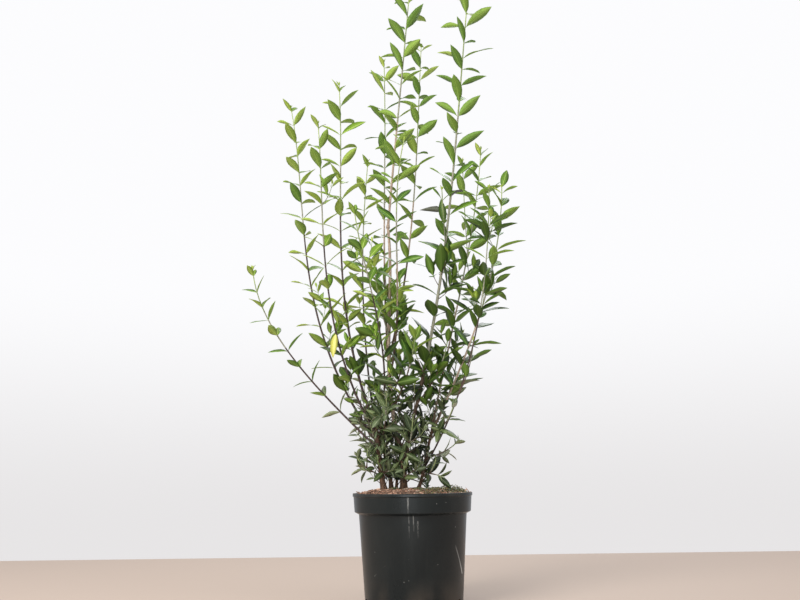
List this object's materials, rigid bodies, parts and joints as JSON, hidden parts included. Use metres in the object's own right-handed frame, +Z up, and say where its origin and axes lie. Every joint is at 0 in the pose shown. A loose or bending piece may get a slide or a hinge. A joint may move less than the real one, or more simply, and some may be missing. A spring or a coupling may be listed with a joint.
{
  "type": "potted atrovirens privet",
  "caption": "Young multi-stemmed evergreen privet with long upright leafy shoots, growing in a round black nursery pot.",
  "frame": {"origin": "centre of the pot's flat underside", "axes": "+Z up; -Y is the front, the side that the picture shows; +X is the picture's right"},
  "size_m": [0.6964, 0.4669, 1.6188],
  "materials": {
    "pot": "satin",
    "compost": "rough",
    "stem_bark": "rough",
    "shoot_bark": "matte",
    "leaves_low": "satin",
    "leaves": "satin"
  },
  "bodies": {
    "root": {"bough_centre_back": "shoot_bark", "bough_centre_front": "shoot_bark", "bough_centre_left": "shoot_bark", "bough_far_left": "shoot_bark", "bough_leader": "shoot_bark", "bough_left_front": "shoot_bark", "bough_left_inner": "shoot_bark", "bough_left_outer": "shoot_bark", "bough_left_second": "shoot_bark", "bough_left_tall": "shoot_bark", "bough_right_outer": "shoot_bark", "bough_right_second": "shoot_bark", "bough_right_tall": "shoot_bark", "bough_right_whip": "shoot_bark", "compost": "compost", "foliage_centre_back": "leaves", "foliage_centre_front": "leaves", "foliage_centre_left": "leaves", "foliage_crown_top": "leaves", "foliage_far_left": "leaves", "foliage_left_front": "leaves", "foliage_left_inner": "leaves", "foliage_left_outer": "leaves", "foliage_left_second": "leaves", "foliage_left_tall": "leaves", "foliage_low_back": "leaves_low", "foliage_low_centre_front": "leaves_low", "foliage_low_centre_right": "leaves_low", "foliage_low_front": "leaves_low", "foliage_low_inner_front": "leaves_low", "foliage_low_left": "leaves_low", "foliage_low_left_back": "leaves_low", "foliage_low_left_front": "leaves_low", "foliage_low_middle": "leaves_low", "foliage_low_right": "leaves_low", "foliage_low_right_front": "leaves_low", "foliage_low_right_up": "leaves_low", "foliage_mid_back": "leaves", "foliage_mid_front": "leaves", "foliage_mid_right": "leaves", "foliage_mid_right_back": "leaves", "foliage_right_outer": "leaves", "foliage_right_second": "leaves", "foliage_right_tall": "leaves", "foliage_right_whip": "leaves", "foliage_upper_front": "leaves", "foliage_whip_side": "leaves", "pot": "pot", "stem_centre": "stem_bark", "stem_left": "stem_bark", "stem_left_inner": "stem_bark", "stem_right": "stem_bark", "stem_small": "stem_bark"}
  },
  "joints": []
}
